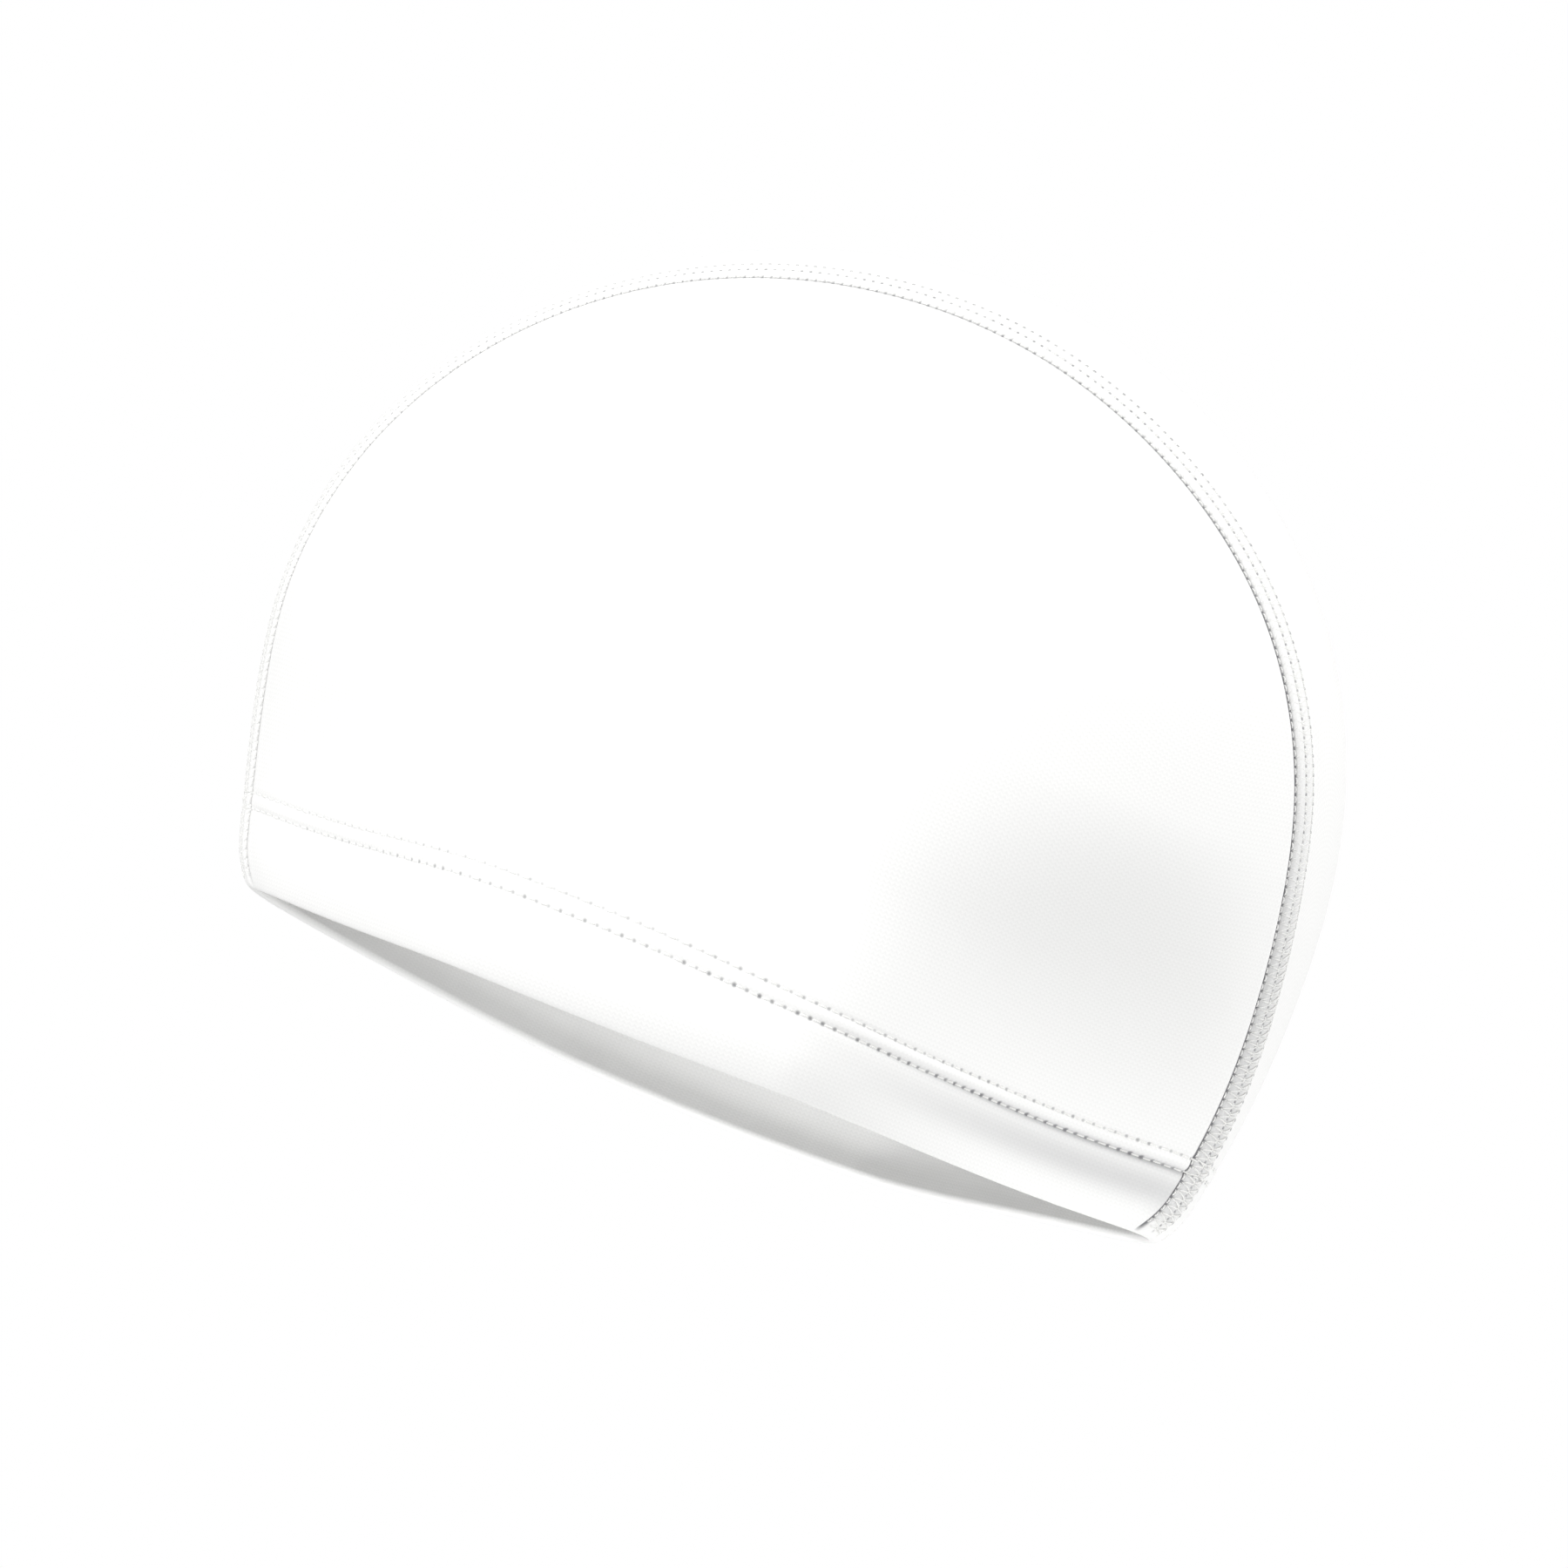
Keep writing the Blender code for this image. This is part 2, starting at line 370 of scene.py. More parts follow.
def sideRow(front, rear, fade, shares):
    # a row across the left panel between two places on its seam, as along and up in the side view
    # fade is 1 where the row follows the hem, and goes to 0 where it runs straight
    start = formPoint(front, sideEdge(front))
    end = formPoint(rear, sideEdge(rear))
    along = start[..., 1] + shares * (end[..., 1] - start[..., 1])
    straight = start[..., 2] + shares * (end[..., 2] - start[..., 2])
    height = aboveHem(start) + shares * (aboveHem(end) - aboveHem(start))
    followed = hemEdgeHeight(along) + height * bandShare(along)
    return along, fade * followed + (1 - fade) * straight


def sideBandRow(height, shares):
    front = crossingAngle(sideEdge, height, frontBelow)
    rear = crossingAngle(sideEdge, height, rearBelow)
    return sideRow(front, rear, 1, shares)


def centerBandRow(height, fractions, below):
    # a row across the middle panel; fractions run from 1 at the left seam to -1 at the right
    angle = crossingAngle(lambda angle: fractions * centerEdge(angle), height, below)
    return angle, fractions * centerEdge(angle)


def makeHemLine():
    # the loop midway between the hem's rows: left side, nape, right side, forehead
    shares = np.linspace(0, 1, 1200)
    fractions = np.linspace(1, -1, 400)
    side = lineThrough(sideSurface(*sideBandRow(np.full(shares.shape, hemMiddle), shares))[0])
    height = np.full(fractions.shape, hemMiddle)
    nape = lineThrough(centerSurface(*centerBandRow(height, fractions, rearBelow))[0])
    brow = lineThrough(centerSurface(*centerBandRow(height, fractions, frontBelow))[0])
    lengths = (side[-1], nape[-1], side[-1], brow[-1])
    starts = np.concatenate(([0], np.cumsum(lengths)))
    return {
        "shares": shares,
        "fractions": fractions,
        "side": side,
        "nape": nape,
        "brow": brow,
        "starts": starts,
    }


hemLine = makeHemLine()
hemStitches = round(hemLine["starts"][-1] / hem["pitch"])
hemPitch = hemLine["starts"][-1] / hemStitches
# each stitch is pulled a little more or less than the next
hemPull = 0.55 + 0.45 * np.random.default_rng(5).random(hemStitches + 1)
seamPull = 0.60 + 0.40 * np.random.default_rng(8).random(seamStitches + 1)
print("form laid out: seam", round(seamLength, 4), "hem", round(hemLine["starts"][-1], 4))


def bump(value, middle, width):
    # a soft bump, 1 at its middle
    return np.exp(-((value - middle) / width) ** 2)


def reliefAt(height, fromSeam, seamRun, along, onCenter):
    # how far the outside stands proud of the plain form; the seam sinks deeper at the back of the head
    frontShare = flatlock["ditchFront"]
    backShare = frontShare + (1 - frontShare) * smooth(seamRun / seamLength, 0.56, 0.78)
    relief = -flatlock["ditchDepth"] * backShare * bump(fromSeam, 0, flatlock["ditchWidth"])
    if onCenter:
        edge = flatlock["width"]
        proud = smooth(fromSeam, 0.1 * mm, 1.2 * mm)
        proud = proud * (1 - smooth(fromSeam, edge - 0.5 * mm, edge + 0.5 * mm))
        relief += flatlock["rise"] * proud
        for row in range(1, flatlock["rows"]):
            rowAway = row * flatlock["rowSpacing"]
            relief -= flatlock["rowGroove"] * bump(fromSeam, rowAway, flatlock["rowGrooveWidth"])
    else:
        relief += flatlock["edgeRoll"] * bump(fromSeam, flatlock["edgeRollPlace"], flatlock["edgeRollWidth"])

    # the tunnel fills out towards the nape, and the flatlock stiffens the hem
    napeShare = 0.50 + 0.60 * smooth(along, 0.015, 0.085)
    hemShare = 0.4 if onCenter else smooth(fromSeam, -4 * mm, 6 * mm)
    relief += hem["tunnelRise"] * napeShare * hemShare * bump(height, hemMiddle, hem["tunnelWidth"])
    relief += hem["bandRise"] * (1 - smooth(height, hem["lowerRow"] - 2 * mm, hem["lowerRow"]))
    for row in ("lowerRow", "upperRow"):
        relief -= hem["groove"] * hemShare * bump(height, hem[row], hem["grooveWidth"])
    if not onCenter:
        bite = bump(height, hem["lowerRow"] - 0.2 * mm, hem["underRowWidth"])
        relief -= hem["underRow"] * (napeShare - 0.55) * bite
        sag = smooth(along, 0.030, 0.090) * bump(height, hem["sagHeight"], hem["sagWidth"])
        relief -= hem["bandSag"] * sag * smooth(fromSeam, 0, 6 * mm)
    return relief * smooth(height, 0, 2 * mm)


def foldHeights():
    # the turned edge is half a circle in section: its lowest row first, then up its outer quarter
    radius = cloth["hemThickness"] / 2
    turns = np.linspace(90, 0, cloth["foldRows"] + 1)
    return radius - radius * np.sin(np.radians(turns)), -radius * (1 - np.cos(np.radians(turns)))


def bandHeights():
    # rows above the fold, closer together at the needle rows and at the raw edge
    plain = np.arange(cloth["hemThickness"] / 2 + 0.6 * mm, cloth["bandTop"], 0.6 * mm)
    near = [hem[row] + np.arange(-1.2, 1.21, 0.3) * mm for row in ("lowerRow", "upperRow")]
    rawEdge = [np.array([cloth["rawEdge"], cloth["rawEdge"] + 0.25 * mm, cloth["bandTop"]])]
    return np.unique(np.round(np.concatenate([plain] + near + rawEdge), 5))


def innerRows(rowCount, heights, foldOffsets):
    # the inside, as (row of the outside, depth under it): up the fold, the turned-up layer, single cloth
    step = cloth["innerStep"]
    rows = [(k, cloth["hemThickness"] + foldOffsets[k]) for k in range(1, len(foldOffsets))]
    first = len(foldOffsets)
    top = first + len(heights)
    edge = first + int(np.searchsorted(heights, cloth["rawEdge"] - 1e-6))
    rows += [(k, cloth["hemThickness"]) for k in range(first + step, edge - 1, step)]
    rows += [(edge, cloth["hemThickness"]), (edge + 1, cloth["thickness"])]
    rows += [(k, cloth["thickness"]) for k in range(top, rowCount, step)]
    return rows


def shellMesh(name, outer, inner, outerRows, joined, flip):
    # closed skin: the outside's rows, the inside's coarser rows, and strips that join them along both edges
    # outerRows gives the row of the outside that each row of the inside lies under
    rowCount, columns = outer.shape[:2]
    points = np.concatenate((outer.reshape(-1, 3), inner.reshape(-1, 3)))
    outerIndex = np.arange(rowCount * columns).reshape(rowCount, columns)
    innerIndex = rowCount * columns + np.arange(inner.shape[0] * columns).reshape(-1, columns)
    innerIndex = np.vstack([outerIndex[:1], innerIndex] + ([outerIndex[-1:]] if joined else []))
    under = [0] + list(outerRows) + ([rowCount - 1] if joined else [])

    def skin(index, turned):
        quads = np.stack((index[:-1, :-1], index[:-1, 1:], index[1:, 1:], index[1:, :-1]), -1).reshape(-1, 4)
        return (quads[:, ::-1] if turned else quads).tolist()

    faces = skin(outerIndex, flip) + skin(innerIndex, not flip)
    for column, turned in ((0, flip), (columns - 1, not flip)):
        for k in range(len(under) - 1):
            strip = [int(i) for i in outerIndex[under[k]:under[k + 1] + 1, column]]
            strip += [int(innerIndex[j, column]) for j in (k + 1, k)]
            strip = list(dict.fromkeys(strip))
            faces.append(strip if turned else strip[::-1])
    mesh = bpy.data.meshes.new(name)
    mesh.from_pydata(points.tolist(), [], faces)
    return mesh


def addNumbers(mesh, name, values):
    attribute = mesh.attributes.new(name, "FLOAT", "POINT")
    attribute.data.foreach_set("value", np.asarray(values, np.float32).ravel())


def addClothMap(mesh, name, places):
    # a UV map in millimetres of cloth, so that the knit keeps its size
    layer = mesh.uv_layers.new(name=name)
    corners = np.zeros(len(mesh.loops), np.int32)
    mesh.loops.foreach_get("vertex_index", corners)
    layer.uv.foreach_set("vector", places.reshape(-1, 2)[corners].astype(np.float32).ravel())


def clothPlaces(points, middleColumn):
    # millimetres across and up the cloth, by adding up the steps between neighbouring points
    acrossSteps = np.linalg.norm(np.diff(points, axis=1), axis=-1)
    across = np.concatenate((np.zeros((len(points), 1)), np.cumsum(acrossSteps, axis=1)), axis=1)
    across -= across[:, middleColumn:middleColumn + 1]
    upSteps = np.linalg.norm(np.diff(points, axis=0), axis=-1)
    up = np.concatenate((np.zeros((1, points.shape[1])), np.cumsum(upSteps, axis=0)))
    return np.stack((across, up), -1) / mm


def pullAt(hemHeight, hemRun, seamRun, seamDistance):
    # how deep the nearest stitch bites, about 1 at most; all four lengths are in millimetres
    hemIndex = np.clip(np.round(hemRun * mm / hemPitch), 0, hemStitches).astype(int)
    seamIndex = np.clip(np.round(seamRun * mm / seamPitch), 0, seamStitches).astype(int)
    # stitches lie flatter low on the forehead, and in the hem's upper row
    browShare = 0.35 + 0.65 * smooth(seamRun * mm / seamLength, 0.06, 0.28)
    rowShare = 1 - 0.30 * smooth(hemHeight, hemMiddle / mm - 0.5, hemMiddle / mm + 0.5)
    onHem = hemPull[hemIndex] * browFade(hemRun * mm) * rowShare
    onSeam = seamPull[seamIndex] * browShare
    return np.where(seamDistance < flatlock["width"] / mm, onSeam, onHem)


def browFade(run):
    # the hem's stitches lie flatter in the front third of each side, and bite deepest towards the nape
    starts = hemLine["starts"]
    fromBrow = np.minimum(np.abs(run - starts[0]), np.abs(starts[3] - run))
    return 0.55 + 0.30 * smooth(fromBrow, 0.01, 0.08) + 0.40 * smooth(fromBrow, 0.11, 0.16)


def finishPanel(name, node, base, normal, offsets, napeward, data, inside, joined, mirror, middleColumn):
    # napeward is 0 where the hem gets no painted shade under its tunnel, up to 1 at the nape
    outer = base + normal * offsets[..., None]
    underRows = [row for row, _ in inside]
    depth = np.array([deep for _, deep in inside])[:, None, None]
    inner = base[underRows] - normal[underRows] * depth
    places = clothPlaces(base, middleColumn)
    if mirror:
        outer = outer * (-1, 1, 1)
        inner = inner * (-1, 1, 1)
    mesh = shellMesh(name, outer, inner, underRows, joined, mirror)
    for key, values in data.items():
        addNumbers(mesh, key, np.concatenate((values.ravel(), values[underRows].ravel())))

    # these are numbers of the outside alone
    hemHeight = data["hemHeight"]
    pull = pullAt(hemHeight, data["hemRun"], data["seamRun"], data["seamDistance"])
    pull = pull * smooth(hemHeight, 1.5, 4.0)
    height = hemHeight * mm
    # painted shade in the crease under the tunnel and on the band below it, towards the nape
    underTunnel = bump(height, hem["lowerRow"] - 0.3 * mm, cloth["creaseWidth"])
    underBand = cloth["bandShade"] * bump(height, cloth["bandShadeHeight"], cloth["bandShadeWidth"])
    paintedCreaseShade = cloth["creaseShade"] * (underTunnel + underBand) * napeward
    shown = smooth(hemHeight, 0.6, 2.5)
    noInside = np.zeros(inner.shape[0] * inner.shape[1])
    for key, values in (("stitchPull", pull), ("paintedCreaseShade", paintedCreaseShade), ("outside", shown)):
        addNumbers(mesh, key, np.concatenate((values.ravel(), noInside)))
    flatPlaces = places.reshape(-1, 2)
    addClothMap(mesh, "clothPlace", np.concatenate((flatPlaces, places[underRows].reshape(-1, 2))))
    mesh.shade_smooth()
    mesh.set_sharp_from_angle(angle=math.radians(cloth["sharpAngle"]))
    piece = addObject(name, mesh)
    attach(piece, "root")
    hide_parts(node)
    return piece


def makeSidePanels():
    columns = cloth["sideColumns"]
    k = np.arange(columns + 1) / columns
    shares = k - cloth["edgeEase"] * np.sin(2 * math.pi * k) / (2 * math.pi)
    foldUp, foldOffsets = foldHeights()
    heights = bandHeights()
    allHeights = np.concatenate((foldUp, heights))
    grid = np.broadcast_to(allHeights[:, None], (len(allHeights), columns + 1))
    along, up = sideBandRow(grid, shares)
    front = crossingAngle(sideEdge, heights[-1:], frontBelow)[0]
    rear = crossingAngle(sideEdge, heights[-1:], rearBelow)[0]
    t = (np.arange(1, cloth["seamRows"]) / cloth["seamRows"])[:, None]
    apex = wornForm["apexAngle"]
    upperAlong, upperUp = sideRow(front + t * (apex - front), rear + t * (apex - rear), 1 - t, shares)
    top = formPoint(apex, sideEdge(apex))
    # the last row is a stub a hair long, so that it keeps as many points as the others
    stub = (shares - 0.5) * 2e-6
    along = np.vstack((along, upperAlong, top[1] + stub))
    up = np.vstack((up, upperUp, np.full(columns + 1, top[2])))
    base, normal = sideSurface(along, up)
    height = aboveHem(sidePoint(along, up))
    fromSeam, seamRun = placeBySeam(base)
    offsets = reliefAt(height, fromSeam, seamRun, along, False)
    offsets[:len(foldOffsets)] += foldOffsets[:, None]
    inside = innerRows(len(along), heights, foldOffsets)
    if inside[-1][0] != len(along) - 1:
        inside.append((len(along) - 1, cloth["thickness"]))
    runs = np.interp(shares, hemLine["shares"], hemLine["side"])
    starts = hemLine["starts"]
    napeward = smooth(along, 0.025, 0.085)
    panels = []
    for side, run in (("left", starts[0] + runs), ("right", starts[3] - runs)):
        data = {
            "hemHeight": height / mm,
            "hemRun": np.broadcast_to(run / mm, height.shape),
            "seamDistance": fromSeam / mm,
            "seamRun": seamRun / mm,
        }
        panels.append(finishPanel(side + "_side_cloth", side + "_panel", base, normal, offsets, napeward,
                                  data, inside, False, side == "right", columns // 2))
    return panels


def makeCenterPanel():
    # columns at fixed distances beside each seam, then evenly over the middle
    nearSeam = np.concatenate((np.arange(0, 2.0, 0.2), np.arange(2.0, 8.01, 0.4))) * mm
    middle = np.linspace(1, -1, 75)[1:-1]
    fractions = np.concatenate((np.ones(len(nearSeam)), middle, -np.ones(len(nearSeam))))
    distances = np.concatenate((nearSeam, np.full(len(middle), nearSeam[-1]), nearSeam[::-1]))
    # metres over the cloth for each metre across the form, beside the seam
    tableAngle = np.linspace(-90, 270, 721)
    _, acrossWay = centerWays(tableAngle, seamHalfWidth(tableAngle) - 3 * mm)
    stretchTable = np.linalg.norm(acrossWay, axis=-1)

    def acrossAt(angle):
        # where the panel is narrow, the columns beside the seams crowd together
        halfWidth = centerEdge(angle)
        stretch = np.interp(angle, tableAngle, stretchTable)
        crowding = np.minimum(1, 0.85 * halfWidth * stretch / distances.max())
        return fractions * (halfWidth - distances / stretch * crowding)

    foldUp, foldOffsets = foldHeights()
    heights = bandHeights()
    allHeights = np.concatenate((foldUp, heights))
    grid = np.broadcast_to(allHeights[:, None], (len(allHeights), len(fractions)))
    front = crossingAngle(acrossAt, grid, frontBelow)
    rear = crossingAngle(acrossAt, grid, rearBelow)
    t = (np.arange(1, cloth["seamRows"] + 1) / cloth["seamRows"])[:, None]
    apex = wornForm["apexAngle"]
    rising = front[-1] + t * (apex - front[-1])
    falling = (rear[-1] + t * (apex - rear[-1]))[-2::-1]
    angle = np.vstack((front, rising, falling, rear[::-1]))
    across = acrossAt(angle)
    base, normal = centerSurface(angle, across)
    plain = formPoint(angle, across)
    height = aboveHem(plain)
    fromSeam, seamRun = placeBySeam(base)
    offsets = reliefAt(height, fromSeam, seamRun, plain[..., 1], True)
    offsets[:len(foldOffsets)] += foldOffsets[:, None]
    offsets[-len(foldOffsets):] += foldOffsets[::-1, None]
    rowCount = len(angle)
    half = innerRows(len(allHeights) + cloth["seamRows"], heights, foldOffsets)
    inside = half + [(rowCount - 1 - row, depth) for row, depth in half[::-1]]
    starts = hemLine["starts"]
    spread = np.interp(-across / seamHalfWidth(angle), -hemLine["fractions"],
                       np.linspace(0, 1, len(hemLine["fractions"])))
    frontHalf = (np.arange(rowCount) < rowCount // 2)[:, None]
    browRun = starts[4] - spread * hemLine["brow"][-1]
    napeRun = starts[1] + spread * hemLine["nape"][-1]
    hemRun = np.where(frontHalf, browRun, napeRun)
    data = {
        "hemHeight": height / mm,
        "hemRun": hemRun / mm,
        "seamDistance": fromSeam / mm,
        "seamRun": seamRun / mm,
    }
    return finishPanel("center_cloth", "center_panel", base, normal, offsets, 0, data, inside, True, False,
                       len(fractions) // 2)


sidePanels = makeSidePanels()
centerPanel = makeCenterPanel()
print("cloth panels made")


# sewing thread on the seams and the hem
thread = {
    "needle": 0.21 * mm,          # radius of the needle threads
    "cover": 0.15 * mm,           # radius of the threads laid between the rows
    "lift": 0.10 * mm,            # how far a stitch's middle stands off the cloth
    "sink": 0.26 * mm,            # how far its ends go in
    "coverSink": -0.06 * mm,      # the cover threads' middles against the cloth
    "coverNape": 0.34 * mm,       # and how much higher they lie at the nape
}


def tubeMesh(name, paths, normals, radii, sides, closed=False):
    # a round thread along each path; paths is (threads, points, 3)
    count, length = paths.shape[:2]
    if closed:
        ways = unit(np.roll(paths, -1, 1) - np.roll(paths, 1, 1))
    else:
        ways = unit(np.gradient(paths, axis=1))
    sideways = unit(np.cross(ways, normals))
    upwards = np.cross(sideways, ways)
    turns = np.arange(sides) * 2 * math.pi / sides
    ring = (np.cos(turns)[:, None] * upwards[:, :, None] + np.sin(turns)[:, None] * sideways[:, :, None])
    points = paths[:, :, None] + ring * np.asarray(radii)[..., :, None, None]
    index = np.arange(count * length * sides).reshape(count, length, sides)
    after = np.roll(index, -1, 2)
    if closed:
        lower, upper = index, np.roll(index, -1, 1)
        lowerAfter, upperAfter = after, np.roll(after, -1, 1)
    else:
        lower, upper = index[:, :-1], index[:, 1:]
        lowerAfter, upperAfter = after[:, :-1], after[:, 1:]
    faces = np.stack((lower, upper, upperAfter, lowerAfter), -1).reshape(-1, 4).tolist()
    if not closed:
        faces += index[:, 0].tolist() + index[:, -1, ::-1].tolist()
    mesh = bpy.data.meshes.new(name)
    mesh.from_pydata(points.reshape(-1, 3).tolist(), [], faces)
    steps = np.linalg.norm(np.diff(paths, axis=1), axis=-1)
    along = np.concatenate((np.zeros((count, 1)), np.cumsum(steps, axis=1)), 1)
    places = np.stack(np.broadcast_arrays(along[:, :, None] / mm, np.arange(sides) / sides), -1)
    addClothMap(mesh, "threadPlace", places)
    mesh.shade_smooth()
    return mesh


def joinMeshes(name, meshes):
    # one piece out of several thread meshes
    objects = [addObject(mesh.name, mesh) for mesh in meshes]
    with bpy.context.temp_override(active_object=objects[0], selected_editable_objects=objects):
        bpy.ops.object.join()
    objects[0].name = name
    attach(objects[0], "root")
    return objects[0]


def hemPlace(run, height, inside=False):
    # point and outward direction on the hem, by how far round the loop
    starts = hemLine["starts"]
    run = np.mod(run, starts[-1])
    point = np.zeros(run.shape + (3,))
    normal = np.zeros(run.shape + (3,))
    for part in range(4):
        here = (run >= starts[part]) & (run < starts[part + 1])
        if not here.any():
            continue
        high = np.broadcast_to(height, run.shape)[here]
        if part in (0, 2):
            reached = run[here] - starts[0] if part == 0 else starts[3] - run[here]
            along, up = sideBandRow(high, np.interp(reached, hemLine["side"], hemLine["shares"]))
            places, ways = sideSurface(along, up)
        else:
            name, below = ("nape", rearBelow) if part == 1 else ("brow", frontBelow)
            reached = run[here] - starts[1] if part == 1 else starts[4] - run[here]
            fraction = np.interp(reached, hemLine[name], hemLine["fractions"])
            angle, across = centerBandRow(high, fraction, below)
            places, ways = centerSurface(angle, across)
            along = formPoint(angle, across)[..., 1]
        if not inside:
            fromSeam, seamRun = placeBySeam(places)
            places = places + ways * reliefAt(high, fromSeam, seamRun, along, part in (1, 3))[:, None]
        if part == 2:
            places = places * (-1, 1, 1)
            ways = ways * (-1, 1, 1)
        point[here] = places
        normal[here] = ways
    return point, normal


def seamPlace(run, fromSeam, inside=False):
    # point and outward direction on the middle panel, by how far along the left seam and how far off it
    angle = np.interp(run, seamLine["run"], seamLine["angle"])
    across = seamHalfWidth(angle)
    turnWay, acrossWay = centerWays(angle, across)
    seamWay = np.stack([np.interp(run, seamLine["run"], seamLine["way"][:, k]) for k in range(3)], -1)
    outward = unit(np.cross(acrossWay, turnWay))
    offWay = unit(np.cross(seamWay, outward))
    offWay = offWay * -np.sign(offWay[..., :1])
    ways = np.stack((turnWay, acrossWay), -1)
    moved = np.linalg.pinv(ways) @ (offWay * np.broadcast_to(fromSeam, run.shape)[..., None])[..., None]
    angle = angle + moved[..., 0, 0]
    across = across + moved[..., 1, 0]
    point, normal = centerSurface(angle, across)
    if not inside:
        plain = formPoint(angle, across)
        point = point + normal * reliefAt(aboveHem(plain), fromSeam, run, plain[..., 1], True)[..., None]
    return point, normal


def stitchShape(steps):
    # lift and radius along one stitch, from where it leaves the cloth to where it goes back in
    t = np.linspace(-1, 1, steps)
    lift = thread["lift"] - (thread["lift"] + thread["sink"]) * np.abs(t) ** 3
    return lift, np.sqrt(1 - 0.45 * t ** 2)


def needleRow(name, place, first, count, pitch, offset, radius, pull):
    # a row of short stitches, each over four fifths of the pitch; the more one is pulled, the deeper it lies
    steps = 6
    lift, taper = stitchShape(steps)
    index = first + np.arange(count)
    sway = np.random.default_rng(int(offset / mm * 10)).normal(0, 1, (2, count, 1))
    run = (index[:, None] + np.linspace(0.10, 0.90, steps) + 0.03 * sway[0]) * pitch
    point, normal = place(run, offset + 0.05 * mm * sway[1])
    lift = lift - 0.16 * mm * (pull[index][:, None] - 0.75)
    return tubeMesh(name, point + normal * lift[..., None], normal, radius * taper, 6)


def zigzag(name, place, first, count, pitch, low, high, lift, radius, inside=0.0, closed=False):
    # a thread laid to and fro between two rows; lift is one height or a function of the run
    steps = 6
    t = first + np.arange(count * steps) / steps
    swing = 0.5 - 0.5 * np.cos(2 * math.pi * t)
    swing = swing + 0.09 * np.sin(4 * math.pi * t)
    run = (t * pitch)[None]
    point, normal = place(run, low + (high - low) * swing[None], inside > 0)
    liftHere = lift(run[0]) if callable(lift) else lift
    height = (liftHere * np.sin(math.pi * np.clip(swing, 0, 1)))[:, None] - inside
    return tubeMesh(name, point + normal * height, normal, np.full(t.shape, radius), 5, closed)


def mirrored(mesh, name):
    copy = mesh.copy()
    copy.name = name
    points = np.zeros(len(copy.vertices) * 3)
    copy.vertices.foreach_get("co", points)
    copy.vertices.foreach_set("co", (points.reshape(-1, 3) * (-1, 1, 1)).ravel())
    copy.flip_normals()
    return copy


def makeSeamThreads():
    # the threads start and end a few stitches above the hem's edge
    first, count = 2, seamStitches - 4
    spacing = flatlock["rowSpacing"]

    def coverLift(run):
        # the cover threads lie sunk in the cloth, and stand out only towards the nape
        return thread["coverSink"] + thread["coverNape"] * smooth(run / seamLength, 0.78, 0.90)

    rows = []
    for row in range(flatlock["rows"]):
        away = max(0.25 * mm, row * spacing)
        rows.append(needleRow("row", seamPlace, first, count, seamPitch, away, thread["needle"], seamPull))
    covers = [zigzag("cover", seamPlace, first, count, seamPitch, low, spacing, coverLift, thread["cover"])
              for low in (0.4 * mm, 2 * spacing)]
    depth = cloth["thickness"] + 0.10 * mm
    under = [zigzag("under", seamPlace, first, count, seamPitch, 0.3 * mm, 2 * spacing, 0,
                    thread["cover"], depth)]
    pieces = []
    layers = (("seam_stitches", rows), ("seam_cover_thread", covers), ("seam_inner_thread", under))
    for name, meshes in layers:
        copies = [mirrored(mesh, mesh.name) for mesh in meshes]
        pieces.append(joinMeshes("left_" + name, meshes))
        pieces.append(joinMeshes("right_" + name, copies))
    return pieces


def makeHemThreads():
    rows = [needleRow("row", hemPlace, 0, hemStitches, hemPitch, hem[row], thread["needle"], hemPull)
            for row in ("lowerRow", "upperRow")]
    depth = cloth["hemThickness"] + 0.10 * mm
    looper = [zigzag("looper", hemPlace, 0, hemStitches, hemPitch, hem["lowerRow"], hem["upperRow"], 0,
                     thread["cover"], depth, closed=True)]
    return [joinMeshes("hem_stitches", rows), joinMeshes("hem_inner_thread", looper)]


threadPieces = makeSeamThreads() + makeHemThreads()
print("threads laid")


def linearColor(hexColor):
    parts = [int(hexColor[k:k + 2], 16) / 255 for k in (1, 3, 5)]
    return tuple(c / 12.92 if c <= 0.04045 else ((c + 0.055) / 1.055) ** 2.4 for c in parts) + (1.0,)


def addNode(tree, kind, settings=None, links=None):
    # adds a node with its settings; an input is a value, an output, or a node for its first output
    node = tree.nodes.new("ShaderNode" + kind)
    for name, value in (settings or {}).items():
        setattr(node, name, value)
    for name, value in (links or {}).items():
        if isinstance(value, bpy.types.Node):
            value = value.outputs[0]
        if isinstance(value, bpy.types.NodeSocket):
            tree.links.new(value, node.inputs[name])
        else:
            node.inputs[name].default_value = value
    return node


def newMaterial(name, look):
    material = bpy.data.materials.new(name)
    material.use_nodes = True
    surface = material.node_tree.nodes["Principled BSDF"]
    surface.inputs["Roughness"].default_value = look["roughness"]
    surface.inputs["IOR"].default_value = look["ior"]
    surface.inputs["Sheen Weight"].default_value = look["sheen"]
    return material, material.node_tree, surface


# settings that several nodes share
times = {"operation": "MULTIPLY"}
timesPlus = {"operation": "MULTIPLY_ADD"}
minus = {"operation": "SUBTRACT"}
larger = {"operation": "MAXIMUM"}
sine = {"operation": "SINE"}
length = {"operation": "LENGTH"}
toAndFro = {"operation": "PINGPONG"}
softly = {"interpolation_type": "SMOOTHSTEP"}
ofColors = {"data_type": "RGBA"}


